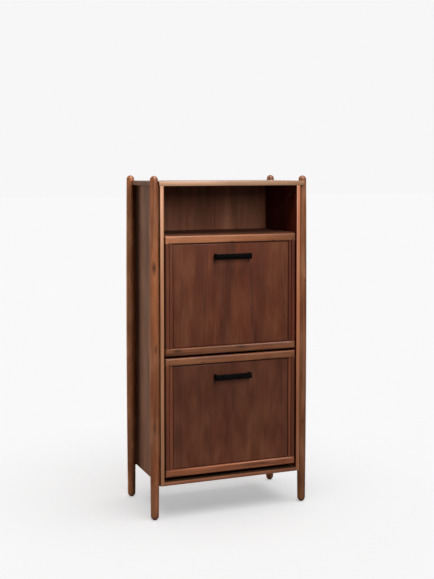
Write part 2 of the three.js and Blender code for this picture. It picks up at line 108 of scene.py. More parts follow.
# How far the edges of the CAD solids are rounded.
BOARD_ROUND = 0.7 * MM
SHELF_ROUND = 0.8 * MM
HANDLE_ROUND = 0.9 * MM
BRACKET_ROUND = 0.4 * MM
HINGE_PLATE_ROUND = 0.3 * MM
WALL_BRACKET_ROUND = 0.5 * MM
CAM_LOCK_ROUND = 0.6 * MM
BOLT_ROUND = 0.5 * MM
GLIDE_ROUND = 0.4 * MM

NEAR = 0.01 * MM  # for telling whether a corner lies on a plane
SQUARE_ON = 0.7  # the part of a face's normal that has to point along an axis
BROAD_FLAT = 0.02  # in square metres; larger faces are shaded flat
WELD_DISTANCE = 0.002 * MM
FLAT_ANGLE = math.radians(0.5)  # faces that meet at less are merged
SHARP_ANGLE = math.radians(50)  # edges above it are rounded
SMOOTH_ANGLE = math.radians(38)  # edges below it are shaded smooth
DOORS = ("upper", "lower")
SIDES = (("left", -1), ("right", 1))
CORNERS = ("front_left", "front_right", "rear_left", "rear_right")
PIVOTS = {
    joint["child"].removesuffix("_door"): Vector(joint["pos_m"]) for joint in frame["joints"]
}

# ---------------------------------------------------------------- tones, knots and figure

POST_TONE = (0.206, 0.071, 0.030)
POST_SHADES = {"front_left": 0.96, "front_right": 0.96, "rear_left": 1.02, "rear_right": 0.98}
VENEER_TONE = (0.108, 0.047, 0.0265)
BACK_TONE = (0.236, 0.086, 0.047)  # the back panel's side in the cubby
INNER_WALL_TONE = (0.105, 0.0160, 0.0065)
REAR_TONE = (0.070, 0.030, 0.017)  # the back panel's side towards the wall
# Painted shade: the cubby shelf is drawn much darker than the back panel, for the shade inside the
# cubby.
CUBBY_SHELF_SHADED_TONE = (0.072, 0.026, 0.014)
SHOE_SHELF_TONE = (0.10, 0.040, 0.022)
LIPPING_TONES = {
    # The left side panel's lipping is drawn lighter and paler than the right one's: painted
    # highlight.
    "side_panel_left": (0.375, 0.160, 0.083),
    "side_panel_right": (0.31, 0.112, 0.054),
    "top_panel": (0.395, 0.203, 0.119),
    "bottom_panel": (0.245, 0.084, 0.043),
}
RAIL_TONES = {
    ("upper", "top"): (0.210, 0.070, 0.030),
    ("upper", "bottom"): (0.215, 0.073, 0.031),
    ("lower", "top"): (0.224, 0.078, 0.035),
    ("lower", "bottom"): (0.300, 0.096, 0.041),
}
STILE_TONES = {
    ("upper", "left"): (0.100, 0.0265, 0.0115),
    ("upper", "right"): (0.088, 0.0168, 0.0066),
    ("lower", "left"): (0.112, 0.0320, 0.0145),
    ("lower", "right"): (0.086, 0.0230, 0.0098),
}
BEAD_TONES = {
    ("upper", "left"): (0.100, 0.0275, 0.0120),
    ("upper", "right"): (0.078, 0.0165, 0.0068),
    ("lower", "left"): (0.150, 0.043, 0.0200),
    ("lower", "right"): (0.132, 0.037, 0.0170),
}
PANEL_TONES = {"upper": (0.113, 0.0290, 0.0120), "lower": (0.110, 0.0310, 0.0145)}
PANEL_CONTRAST = {"upper": 1.0, "lower": 0.65}
GROOVE_PAINTED_SHADE = 0.35  # painted shade: how much darker the panels' grooves are drawn
HANDLE_SHADE_GAINS = {"upper": 0.45, "lower": 1.0}  # painted shade: the upper handle's coat is drawn darker than the lower one's

# The colour's gains at the two ends of a piece, along its grain.
EVEN = (1.0, 1.0)
POST_ENDS = (1.0, 0.80)  # from the belly to the tip
# On the top panel's lipping the gains paint a highlight that fades towards the right end; the bottom
# panel's lipping is darker towards its right end.
LIPPING_ENDS = {"top_panel": (1.0, 0.60), "bottom_panel": (1.0, 0.75)}
PANEL_ENDS = {"upper": (0.88, 0.99), "lower": (1.10, 0.84)}
# Painted highlight: the upper door's top rail is drawn lighter at its left end, fading to the right.
RAIL_HIGHLIGHT_ENDS = {("upper", "top"): (1.72, 0.55)}
DOOR_SPAN = (-248 * MM, 248 * MM)

# Each knot's X and Y from its post's axis, its height and its radius.
POST_KNOTS = {
    "front_left": (
        (-5 * MM, -POST_FOOT_RADIUS, 882 * MM, 6.5 * MM),
        (0, -POST_FOOT_RADIUS, 602 * MM, 5 * MM),
        (-4 * MM, -POST_FOOT_RADIUS, 325 * MM, 6.5 * MM),
        (2 * MM, -POST_FOOT_RADIUS, 700 * MM, 2.5 * MM),
    ),
    "front_right": (
        (3 * MM, -POST_FOOT_RADIUS, 815 * MM, 3 * MM),
        (-3 * MM, -POST_FOOT_RADIUS, 300 * MM, 3 * MM),
    ),
    "rear_left": ((-12 * MM, 5 * MM, 640 * MM, 4 * MM),),
    "rear_right": ((12 * MM, 4 * MM, 480 * MM, 4 * MM),),
}
# Each knot's X, its height above the rail's lower edge, and its radius.
RAIL_KNOTS = {
    ("upper", "top"): ((2 * MM, 1 * MM, 3 * MM), (160 * MM, 2 * MM, 2.5 * MM)),
    ("upper", "bottom"): ((-203 * MM, 18 * MM, 6.5 * MM), (35 * MM, 20 * MM, 6.5 * MM)),
    ("lower", "top"): ((-110 * MM, 6 * MM, 2.5 * MM),),
    ("lower", "bottom"): ((120 * MM, 14 * MM, 3 * MM),),
}

# Each board's grain axis, tone and seed. A seed picks a piece's own part of the patterns.
BOARDS = {
    "side_panel_left": (2, VENEER_TONE, 1.1),
    "side_panel_right": (2, VENEER_TONE, 2.3),
    "top_panel": (0, VENEER_TONE, 4.7),
    "bottom_panel": (0, VENEER_TONE, 5.9),
    "cubby_shelf": (0, CUBBY_SHELF_SHADED_TONE, 7.3),
    "back_panel": (2, BACK_TONE, 8.2),
}
INNER_BOARDS = ("cubby_shelf", "back_panel")
POST_SEEDS = {"front_left": 3.1, "front_right": 5.0, "rear_left": 6.9, "rear_right": 8.8}
DOOR_SEEDS = {"upper": 11, "lower": 20}
# What is added to a door's seed for its pieces, and to a board's for its other faces.
RAIL_SEEDS = {"top": 2.4, "bottom": 3.3}
PANEL_SEED = 4.1
BEAD_SEEDS = {"left": 6.3, "right": 1.9}
SHELF_SEEDS = {"low": 5.2, "high": 7.3}
OTHER_SIDE_SEED = 0.4
LIPPING_SEED = 0.8

# The figure of the wood. Scales are in features per metre across the grain.
BROAD_SCALE = 14
BAND_SCALE = 75
FIBRE_SCALE = 430
STREAK_SCALE = 27
PATCH_SCALE = 9
CLOUD_SCALE = 22
PORE_SCALE = 1500
KNOT_SCALE = 160
BROAD_SHARE, BAND_SHARE, FIBRE_SHARE = 0.42, 0.40, 0.18
FIGURE_STOPS = ((0.0, 0.50), (0.35, 0.82), (0.65, 1.10), (1.0, 1.50))  # place and tone gain
FIGURE_REACH = 0.17  # how far the figure strays from its middle
GOLDEN_SHIFT = (1.03, 1.13, 1.08)
GOLDEN_STOPS = (0.6, 1.45)  # tone gains
GOLDEN_SHARE = 0.8
STREAK_GAIN = 0.34
PORE_GAIN = 0.45
KNOT_GAIN = 0.22
# how much lighter corners that stick out are drawn: partly wear, partly painted highlight
EDGE_WEAR_AND_HIGHLIGHT_GAIN = 1.9

# How fast a pattern changes along the grain, as a share of how fast it changes across it.
BAND_STRETCH = 0.055
FIBRE_STRETCH = 0.02
CLOUD_STRETCH = 0.35
KNOT_STRETCH = 0.32
ROLLING_STRETCH = 0.05


# ---------------------------------------------------------------- materials

class Graph:
    """A small helper for wiring one material's nodes."""

    def __init__(self, name):
        self.material = bpy.data.materials.new(name)
        self.material.use_nodes = True
        self.tree = self.material.node_tree
        self.shader = self.tree.nodes["Principled BSDF"]
        self.coords = self.tree.nodes.new("ShaderNodeTexCoord").outputs["Object"]

    def add(self, kind, **settings):
        node = self.tree.nodes.new(kind)
        for key, value in settings.items():
            setattr(node, key, value)
        return node

    def link(self, source, target):
        self.tree.links.new(source, target)

    def stretched(self, scale=(1, 1, 1), offset=(0, 0, 0)):
        """The object's coordinates, scaled per axis, so that a pattern runs along the grain."""
        mapping = self.add("ShaderNodeMapping")
        mapping.inputs["Scale"].default_value = scale
        mapping.inputs["Location"].default_value = offset
        self.link(self.coords, mapping.inputs["Vector"])
        return mapping.outputs["Vector"]

    def noise(self, vector, scale, detail=3.0, roughness=0.5, distortion=0.0):
        node = self.add("ShaderNodeTexNoise")
        node.inputs["Scale"].default_value = scale
        node.inputs["Detail"].default_value = detail
        node.inputs["Roughness"].default_value = roughness
        node.inputs["Distortion"].default_value = distortion
        self.link(vector, node.inputs["Vector"])
        return node.outputs["Fac"]

    def math(self, operation, a, b):
        """Arithmetic on two values, each of them a socket or a number."""
        node = self.add("ShaderNodeMath", operation=operation)
        for socket, value in zip(node.inputs, (a, b)):
            if isinstance(value, (int, float)):
                socket.default_value = value
            else:
                self.link(value, socket)
        return node.outputs["Value"]

    def vector_math(self, operation, vector, value=None):
        node = self.add("ShaderNodeVectorMath", operation=operation)
        self.link(vector, node.inputs[0])
        if value is not None:
            node.inputs[1].default_value = value
        return node

    def spread(self, value, low, high, to_low=0.0, to_high=1.0):
        """The value's stretch from low to high, spread over to_low to to_high and clamped."""
        node = self.add("ShaderNodeMapRange")
        node.inputs["From Min"].default_value = low
        node.inputs["From Max"].default_value = high
        node.inputs["To Min"].default_value = to_low
        node.inputs["To Max"].default_value = to_high
        self.link(value, node.inputs["Value"])
        return node.outputs["Result"]

    def ramp(self, factor, stops):
        """A colour for each value of factor. stops are pairs of a position and a colour."""
        node = self.add("ShaderNodeValToRGB")
        elements = node.color_ramp.elements
        while len(elements) < len(stops):
            elements.new(0.5)
        for element, (position, colour) in zip(elements, stops):
            element.position = position
            element.color = (*colour, 1)
        self.link(factor, node.inputs["Fac"])
        return node.outputs["Color"]

    def mix(self, factor, a, b):
        """A colour between a and b, each of them a socket or a colour."""
        node = self.add("ShaderNodeMix", data_type="RGBA")
        self.link(factor, node.inputs[0])
        for socket, value in ((node.inputs[6], a), (node.inputs[7], b)):
            if isinstance(value, tuple):
                socket.default_value = (*value, 1)
            else:
                self.link(value, socket)
        return node.outputs[2]

    def scaled(self, colour, gain):
        node = self.vector_math("SCALE", colour)
        self.link(gain, node.inputs["Scale"])
        return node.outputs["Vector"]

    def gamma(self, colour, gamma):
        node = self.add("ShaderNodeGamma")
        self.link(colour, node.inputs["Color"])
        self.link(gamma, node.inputs["Gamma"])
        return node.outputs["Color"]

    def worn(self, low, high, strength):
        """The strength of wear: 0 on flats, rising to strength on corners that stick out."""
        pointiness = self.add("ShaderNodeNewGeometry").outputs["Pointiness"]
        return self.spread(pointiness, low, high, to_high=strength)

    def knot(self, centre, radius, grain):
        """1 in the eye of a knot, falling to 0 outside it, longer along the grain."""
        raggedness, core, rim, darkest = 1.1 * radius, 0.8 * radius, 1.9 * radius, 0.9
        offset = self.vector_math("SUBTRACT", self.coords, centre).outputs["Vector"]
        flat = self.vector_math("MULTIPLY", offset, drawn_out(grain, KNOT_STRETCH))
        away = self.vector_math("LENGTH", flat.outputs["Vector"]).outputs["Value"]
        ragged = self.math("MULTIPLY", self.noise(self.coords, KNOT_SCALE, detail=3), raggedness)
        return self.spread(self.math("ADD", away, ragged), core, rim, darkest, 0.0)

    def bump(self, height, distance, strength):
        node = self.add("ShaderNodeBump")
        node.inputs["Distance"].default_value = distance
        node.inputs["Strength"].default_value = strength
        self.link(height, node.inputs["Height"])
        self.link(node.outputs["Normal"], self.shader.inputs["Normal"])

    def wire(self, colour, roughness, **values):
        """Wires the colour and the roughness, and sets the shader's other inputs."""
        self.link(colour, self.shader.inputs["Base Color"])
        self.link(roughness, self.shader.inputs["Roughness"])
        self.set(**values)
        return self.material

    def set(self, **values):
        for socket, value in values.items():
            self.shader.inputs[socket.replace("_", " ")].default_value = value


def tinted(colour, gain):
    return tuple(min(1.0, channel * gain) for channel in colour)


def drawn_out(grain, stretch):
    """The scales of a pattern that is drawn out along the grain."""
    scale = [1.0, 1.0, 1.0]
    scale[grain] = stretch
    return scale


def shifted(seed, *steps):
    """An offset that gives each piece a part of the pattern of its own."""
    return tuple(seed * step for step in steps)


def figured(g, figure, along, tone, contrast):
    """The tone, lighter and darker with the figure, redder in some lengths, golden in others."""
    reach = FIGURE_REACH / contrast
    level = g.spread(figure, 0.5 - reach, 0.5 + reach)
    plain = g.ramp(level, [(place_in_it, tinted(tone, gain)) for place_in_it, gain in FIGURE_STOPS])
    warm = tuple(channel * shift for channel, shift in zip(tone, GOLDEN_SHIFT))
    golden = g.mix(level, *(tinted(warm, gain) for gain in GOLDEN_STOPS))
    patch = g.spread(g.noise(along, PATCH_SCALE, detail=1), low=0.42, high=0.58)
    return g.mix(g.math("MULTIPLY", patch, GOLDEN_SHARE), plain, golden)


def streaked(g, colour, along, tone, strength):
    """Darker heartwood streaks that run with the grain."""
    streak = g.noise(along, STREAK_SCALE, detail=2, distortion=1.2)
    streak = g.spread(streak, low=0.58, high=0.70)
    return g.mix(g.math("MULTIPLY", streak, strength), colour, tinted(tone, STREAK_GAIN))


def blotched(g, colour, grain, seed, strength):
    """The colour, darker and redder where the stain lies thicker."""
    clouds = g.stretched(drawn_out(grain, CLOUD_STRETCH), shifted(seed, 0.8, 1.1, 0.5))
    cloud = g.noise(clouds, CLOUD_SCALE, detail=2)
    thickness = g.spread(cloud, low=0.36, high=0.64, to_low=1 - strength, to_high=1 + strength)
    return g.gamma(colour, thickness)


def graded(g, colour, grain, span, ends):
    """The colour, with gains that go from one of ends to the other along the grain."""
    place_in_piece = g.add("ShaderNodeSeparateXYZ")
    g.link(g.coords, place_in_piece.inputs[0])
    return g.scaled(colour, g.spread(place_in_piece.outputs["XYZ"[grain]], *span, *ends))


def wood(name, grain, tone, seed, contrast=1.0, streaks=0.5, gloss=0.4, pores=0.5, knots=(),
         sheen=0.3, ends=EVEN, span=DOOR_SPAN, blotches=0.05, wear=0.35):
    """Stained, lacquered wood. grain is the axis that the fibres follow: 0, 1 or 2.

    knots are pairs of a point and a radius. ends are the colour's gains at the two ends of
    span, which is measured along the grain. gloss is the roughness, and the rest are strengths.
    """
    g = Graph(name)
    along = g.stretched(drawn_out(grain, BAND_STRETCH), shifted(seed, 1.7, 0.9, 2.3))
    with_fibres = g.stretched(drawn_out(grain, FIBRE_STRETCH), shifted(seed, 0.6, 1.3, 0.4))
    broad = g.noise(along, BROAD_SCALE, detail=2, distortion=0.5)
    bands = g.noise(along, BAND_SCALE, detail=4, roughness=0.55, distortion=0.9)
    fibres = g.noise(with_fibres, FIBRE_SCALE, detail=2, roughness=0.6)
    figure = g.math("ADD", g.math("MULTIPLY", broad, BROAD_SHARE),
                    g.math("MULTIPLY", bands, BAND_SHARE))
    figure = g.math("ADD", figure, g.math("MULTIPLY", fibres, FIBRE_SHARE))
    # Open pores are short dark ticks, sunk into the surface.
    pore = g.spread(g.noise(with_fibres, PORE_SCALE, detail=1), low=0.60, high=0.70)
    pore = g.math("MULTIPLY", pore, pores)

    colour = figured(g, figure, along, tone, contrast)
    colour = streaked(g, colour, along, tone, streaks)
    colour = g.mix(pore, colour, tinted(tone, PORE_GAIN))
    for centre, radius in knots:
        colour = g.mix(g.knot(centre, radius, grain), colour, tinted(tone, KNOT_GAIN))
    colour = blotched(g, colour, grain, seed, blotches)
    if wear:
        # Corners that stick out are drawn lighter: partly rubbed wear, partly painted highlight.
        worn = g.worn(low=0.53, high=0.62, strength=wear)
        colour = g.mix(worn, colour, tinted(tone, EDGE_WEAR_AND_HIGHLIGHT_GAIN))
    if ends != EVEN:
        colour = graded(g, colour, grain, span, ends)

    height = g.math("SUBTRACT", g.math("MULTIPLY", fibres, 0.5), pore)
    g.bump(height, distance=0.12 * MM, strength=0.6)
    roughness = g.spread(figure, low=0.35, high=0.65, to_low=gloss + 0.07, to_high=gloss - 0.04)
    return g.wire(colour, roughness, Specular_IOR_Level=sheen, Coat_Weight=sheen * 0.25,
                  Coat_Roughness=0.25)


def powder_coat(name, gain=1.0):
    """Matt black powder coat with its fine orange peel, rubbed on its corners."""
    black = tinted((0.0018, 0.0014, 0.0013), gain)
    grey = tinted((0.0034, 0.0028, 0.0025), gain)
    rubbed = tinted((0.008, 0.007, 0.007), gain)
    g = Graph(name)
    patches = g.noise(g.stretched(), scale=35, detail=3)
    peel = g.noise(g.stretched(), scale=900, detail=2)
    worn = g.worn(low=0.54, high=0.64, strength=0.5)
    colour = g.mix(worn, g.ramp(patches, ((0.35, black), (0.65, grey))), rubbed)
    roughness = g.spread(patches, low=0.3, high=0.7, to_low=0.40, to_high=0.50)
    g.bump(peel, distance=0.05 * MM, strength=0.5)
    return g.wire(colour, roughness, Specular_IOR_Level=0.04)


def plated_steel(name):
    """Zinc-plated steel with faint upright rolling lines."""
    dull, bright = (0.36, 0.37, 0.39), (0.60, 0.60, 0.58)
    g = Graph(name)
    lines = g.noise(g.stretched(drawn_out(2, ROLLING_STRETCH)), scale=700, detail=3)
    cloud = g.noise(g.stretched(), scale=60, detail=4)
    colour = g.ramp(cloud, ((0.3, dull), (0.7, bright)))
    roughness = g.spread(lines, low=0.3, high=0.7, to_low=0.24, to_high=0.42)
    g.bump(lines, distance=0.02 * MM, strength=0.4)
    return g.wire(colour, roughness, Metallic=1.0)


def nylon(name):
    """Moulded dark brown nylon."""
    dark, light = (0.030, 0.018, 0.013), (0.050, 0.032, 0.024)
    g = Graph(name)
    cloud = g.noise(g.stretched(), scale=90, detail=3)
    grains = g.noise(g.stretched(), scale=1400, detail=2)
    colour = g.ramp(cloud, ((0.3, dark), (0.7, light)))
    g.bump(grains, distance=0.04 * MM, strength=0.5)
    return g.wire(colour, g.spread(cloud, low=0.3, high=0.7, to_low=0.48, to_high=0.62))


black_metal = powder_coat("black_metal")
handle_coats = {door: powder_coat(door + "_handle_coat", HANDLE_SHADE_GAINS[door]) for door in DOORS}
zinc_steel = plated_steel("zinc_steel")
dark_plastic = nylon("dark_plastic")


# ---------------------------------------------------------------- mesh tools

def place(name, bm, material, body, replaces=()):
    """Turns a bmesh into a piece that rides on a body, smooth-shaded apart from its broad flats."""
    bmesh.ops.recalc_face_normals(bm, faces=bm.faces)
    for face in bm.faces:
        face.smooth = face.calc_area() < BROAD_FLAT
    for edge in bm.edges:
        if len(edge.link_faces) == 2:
            edge.smooth = edge.calc_face_angle(0) < SMOOTH_ANGLE
    mesh = bpy.data.meshes.new(name)
    bm.to_mesh(mesh)
    bm.free()
    mesh.materials.append(material)
    piece = bpy.data.objects.new(name, mesh)
    bpy.context.scene.collection.objects.link(piece)
    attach(piece, body)
    if replaces:
        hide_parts(*replaces)
    return piece


def face_with(piece, material, chosen):
    """Gives another material to the faces for which chosen(face) holds."""
    piece.data.materials.append(material)
    for face in piece.data.polygons:
        if chosen(face):
            face.material_index = len(piece.data.materials) - 1


def box_mesh(low, high):
    bm = bmesh.new()
    bmesh.ops.create_cube(bm, size=1)
    middle = (Vector(low) + Vector(high)) / 2
    size = Vector(high) - Vector(low)
    bm.transform(Matrix.Translation(middle) @ Matrix.Diagonal((*size, 1)))
    return bm


def soften(bm, edges, width, segments):
    if edges:
        bmesh.ops.bevel(
            bm, geom=edges, offset=width, offset_type="OFFSET", segments=segments,
            profile=0.5, affect="EDGES", clamp_overlap=True,
        )


def sharp_edges(bm):
    return [
        edge for edge in bm.edges
        if len(edge.link_faces) == 2 and edge.calc_face_angle(0) > SHARP_ANGLE
    ]


def edges_on(bm, **planes):
    """The edges whose two ends both lie on the given planes, such as y=0.1."""
    axes = {"x": 0, "y": 1, "z": 2}

    def lies(edge):
        return all(
            abs(vert.co[axes[axis]] - value) < NEAR
            for vert in edge.verts for axis, value in planes.items()
        )

    return [edge for edge in bm.edges if lies(edge)]


def soften_between(bm, low, inner_z, half, width):
    """Rounds a rail's inner edge where it borders the panel, between the two stiles."""
    for x in (-half, half):
        cut = bm.verts[:] + bm.edges[:] + bm.faces[:]
        bmesh.ops.bisect_plane(bm, geom=cut, plane_co=(x, 0, 0), plane_no=(1, 0, 0))
    chosen = [
        edge for edge in edges_on(bm, y=low.y, z=inner_z)
        if max(abs(vert.co.x) for vert in edge.verts) < half + NEAR
    ]
    soften(bm, chosen, width, FRAME_ROUND_STEPS)


def softened_copy(node, material, body, width, segments=2):
    """A CAD node with its flats merged and its corners rounded."""
    bm = bmesh.new()
    bm.from_mesh(frame["nodes"][node].data)
    bmesh.ops.remove_doubles(bm, verts=bm.verts, dist=WELD_DISTANCE)
    bmesh.ops.dissolve_limit(bm, angle_limit=FLAT_ANGLE, verts=bm.verts, edges=bm.edges)
    soften(bm, sharp_edges(bm), width, segments)
    return place(node + "_finished", bm, material, body, (node,))


def lathe(profile, sides):
    """A closed solid of revolution about Z. The profile's radii start and end at 0."""
    turns = [2 * math.pi * i / sides for i in range(sides)]
    bm = bmesh.new()
    rings = []
    for radius, z in profile:
        points = [(radius * math.cos(turn), radius * math.sin(turn), z) for turn in turns]
        rings.append([bm.verts.new(point) for point in (points if radius else [(0, 0, z)])])
    for lower, upper in zip(rings, rings[1:]):
        for i in range(sides):
            j = (i + 1) % sides
            corners = [lower[i % len(lower)], lower[j % len(lower)],
                       upper[j % len(upper)], upper[i % len(upper)]]
            bm.faces.new(list(dict.fromkeys(corners)))
    return bm


def quarter_turn(steps):
    """Pairs that go round a quarter circle: how far along it has come, and how far up."""
    angles = [math.pi / 2 * i / steps for i in range(steps + 1)]
    return [(1 - math.cos(angle), 1 - math.sin(angle)) for angle in angles]


def faded(value, full, none):
    """1 up to full, falling to 0 at none."""
    return max(0.0, min(1.0, (none - value) / (none - full)))


def screw_head_mesh(radius, height):
    """A pan head with a cross recess, facing +Z, its underside at z = 0."""
    rim = height * SCREW_RIM
    profile = [(0, 0), (radius * SCREW_UNDERSIDE, 0), (radius, rim)]
    for i in range(1, SCREW_DOME_STEPS):
        angle = math.pi / 2 * i / SCREW_DOME_STEPS
        profile.append((radius * math.cos(angle), rim + (height - rim) * math.sin(angle)))
    profile.append((0, height))
    bm = lathe(profile, SCREW_SIDES)
    for vert in bm.verts:
        if vert.co.z > height * SCREW_RECESS_START:
            across, along = sorted((abs(vert.co.x) / radius, abs(vert.co.y) / radius))
            inside = faded(across, *SCREW_RECESS_ARM) * faded(along, *SCREW_RECESS_REACH)
            vert.co.z -= height * SCREW_RECESS_DEPTH * inside
    return bm


def screw_head_at(point, facing, radius=SCREW_HEAD_RADIUS, height=SCREW_HEAD_HEIGHT):
    bm = screw_head_mesh(radius, height)
    turn = Vector(facing).to_track_quat("Z", "Y").to_matrix().to_4x4()
    bm.transform(Matrix.Translation(Vector(point)) @ turn)
    return bm


def joined(meshes):
    """Several bmeshes as one."""
    whole = bmesh.new()
    for bm in meshes:
        part = bpy.data.meshes.new("part")
        bm.to_mesh(part)
        bm.free()
        whole.from_mesh(part)
        bpy.data.meshes.remove(part)
    return whole


# ---------------------------------------------------------------- posts

def post_profile(foot, height, belly, ring_heights):
    """Radius and height pairs of a spindle with domed ends, cut level at its foot."""

    def radius_at(z):
        top = z > POST_BELLY_Z
        end = POST_TOP_RADIUS if top else POST_FOOT_RADIUS
        reach = height - POST_BELLY_Z if top else POST_BELLY_Z
        return belly - (belly - end) * ((z - POST_BELLY_Z) / reach) ** 2

    low, high = POST_FOOT_RADIUS, height - POST_TOP_RADIUS
    cut_angle = math.asin(1 - foot / POST_FOOT_RADIUS)
    profile = [(0, foot)]
    for i in range(POST_DOME_STEPS):
        angle = cut_angle * (1 - i / POST_DOME_STEPS)
        profile.append((radius_at(low) * math.cos(angle), low * (1 - math.sin(angle))))
    profile += [(radius_at(z), z) for z in sorted([low, high, *ring_heights])]
    for i in range(1, POST_DOME_STEPS):
        angle = math.pi / 2 * i / POST_DOME_STEPS
        profile.append((radius_at(high) * math.cos(angle), high + POST_TOP_RADIUS * math.sin(angle)))
    profile.append((0, height))
    return profile


def post_mesh(low, high, land_low, land_high, centre):
    """A turned post whose inner side swells out to a flat land against the side panel."""
    rings = [land_low - POST_LAND_STEP, land_low, land_high, land_high + POST_LAND_STEP]
    for i in range(2, round(high.z / POST_RING_SPACING) - 1):
        z = i * POST_RING_SPACING
        if abs(z - land_low) > 2 * POST_LAND_STEP:
            rings.append(z)
    belly = (high.y - low.y) / 2 - POST_SHRINK
    bm = lathe(post_profile(low.z, high.z, belly, rings), POST_SIDES)
    inward = -1 if centre.x > 0 else 1
    reach = abs((low.x if inward < 0 else high.x) - centre.x)
    for vert in bm.verts:
        beside = land_low - POST_LAND_STEP / 2 < vert.co.z < land_high + POST_LAND_STEP / 2
        on_land = beside and vert.co.x * inward > 0 and abs(vert.co.y) <= POST_LAND_HALF_WIDTH
        if on_land or vert.co.x * inward > reach:
            vert.co.x = reach * inward
    bm.transform(Matrix.Translation((centre.x, centre.y, 0)))
    return bm


def make_post(corner):
    low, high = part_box("post_" + corner)
    panel_low, panel_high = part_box("side_panel_left")
    glide_low, glide_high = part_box("glide_" + corner)
    centre = (glide_low + glide_high) / 2
    bm = post_mesh(low, high, panel_low.z, panel_high.z, centre)
    eyes = [
        ((centre.x + dx, centre.y + dy, z), radius) for dx, dy, z, radius in POST_KNOTS[corner]
    ]
    material = wood("post_wood_" + corner, 2, tinted(POST_TONE, POST_SHADES[corner]),
                    POST_SEEDS[corner], contrast=1.25, streaks=0.75, gloss=0.36, pores=0.35,
                    knots=eyes, ends=POST_ENDS, span=(POST_BELLY_Z, high.z), blotches=0.11)
    place("turned_post_" + corner, bm, material, "case", ("post_" + corner,))
    softened_copy("glide_" + corner, dark_plastic, "case", GLIDE_ROUND)


# ---------------------------------------------------------------- case

def make_board(node):
    """A board of the case, veneered, with a solid strip along its front edge if it shows."""
    grain, tone, seed = BOARDS[node]
    gloss, sheen = (0.55, 0.10) if node in INNER_BOARDS else (0.40, 0.2)
    veneer = wood(node + "_wood", grain, tone, seed, contrast=0.9, streaks=0.4, gloss=gloss,
                  sheen=sheen, wear=0)
    board = softened_copy(node, veneer, "case", BOARD_ROUND)
    if node.startswith("side_panel"):
        # The sides that face into the case get a darker, redder tone.
        inward = 1 if node.endswith("left") else -1
        dark = wood(node + "_inside_wood", grain, INNER_WALL_TONE, seed + OTHER_SIDE_SEED,
                    contrast=0.9, streaks=0.4, gloss=0.55, sheen=0.08, wear=0)
        face_with(board, dark, lambda face: face.normal.x * inward > SQUARE_ON)
    if node == "back_panel":
        # The side towards the wall is plain and darker.
        plain = wood("back_panel_rear_wood", grain, REAR_TONE, seed + OTHER_SIDE_SEED,
                     contrast=0.7, streaks=0.2, gloss=0.6, sheen=0.08, wear=0)
        face_with(board, plain, lambda face: face.normal.y > SQUARE_ON)
    if node in LIPPING_TONES:
        strip = wood(node + "_lipping_wood", grain, LIPPING_TONES[node], seed + LIPPING_SEED,
                     streaks=0.4, gloss=0.36, pores=0.3, ends=LIPPING_ENDS.get(node, EVEN))
        back_of_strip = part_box(node)[0].y + LIPPING_THICKNESS
        face_with(board, strip, lambda face: face.center.y < back_of_strip)


def make_case():
    for corner in CORNERS:
        make_post(corner)
    for node in BOARDS:
        make_board(node)
    softened_copy("wall_bracket", zinc_steel, "case", WALL_BRACKET_ROUND)
    for side, _ in SIDES:
        for end in ("front", "rear"):
            node = f"cam_lock_{side}_{end}"
            softened_copy(node, zinc_steel, "case", CAM_LOCK_ROUND)
    for corner in CORNERS:
        for level in ("lower", "upper"):
            node = f"post_bolt_{corner}_{level}"
            softened_copy(node, dark_plastic, "case", BOLT_ROUND)


# ---------------------------------------------------------------- doors

def make_stile(door, side, sign):
    low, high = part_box(f"{door}_stile_{side}")
    bm = box_mesh(low, high)
    outer_x, inner_x = (high.x, low.x) if sign > 0 else (low.x, high.x)
    soften(bm, edges_on(bm, y=low.y, x=outer_x), DOOR_OUTER_ROUND, FRAME_ROUND_STEPS)
    soften(bm, edges_on(bm, y=low.y, x=inner_x), STILE_INNER_ROUND, STILE_ROUND_STEPS)
    material = wood(f"{door}_stile_{side}_wood", 2, STILE_TONES[door, side],
                    DOOR_SEEDS[door] + sign, contrast=1.2, streaks=0.6, gloss=0.36)
    place(f"{door}_stile_{side}_shaped", bm, material, door + "_door",
          (f"{door}_stile_{side}",))


def make_rail(door, end):
    """A rail across the whole door, rounded along its outer edges and its two ends."""
    low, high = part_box(f"{door}_{end}_rail")
    bm = box_mesh(low, high)
    outer_z, inner_z = (high.z, low.z) if end == "top" else (low.z, high.z)
    inner_round = TOP_RAIL_INNER_ROUND if end == "top" else BOTTOM_RAIL_INNER_ROUND
    outer = edges_on(bm, y=low.y, z=outer_z)
    outer += edges_on(bm, y=low.y, x=low.x)
    outer += edges_on(bm, y=low.y, x=high.x)
    soften(bm, outer, DOOR_OUTER_ROUND, FRAME_ROUND_STEPS)
    soften_between(bm, low, inner_z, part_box(door + "_stile_right")[0].x, inner_round)
    eyes = [((x, low.y, low.z + above), radius) for x, above, radius in RAIL_KNOTS[door, end]]
    material = wood(f"{door}_{end}_rail_wood", 0, RAIL_TONES[door, end],
                    DOOR_SEEDS[door] + RAIL_SEEDS[end], contrast=1.2, streaks=0.7, gloss=0.36,
                    knots=eyes, ends=RAIL_HIGHLIGHT_ENDS.get((door, end), EVEN))
    place(f"{door}_{end}_rail_shaped", bm, material, door + "_door",
          (f"{door}_{end}_rail",))


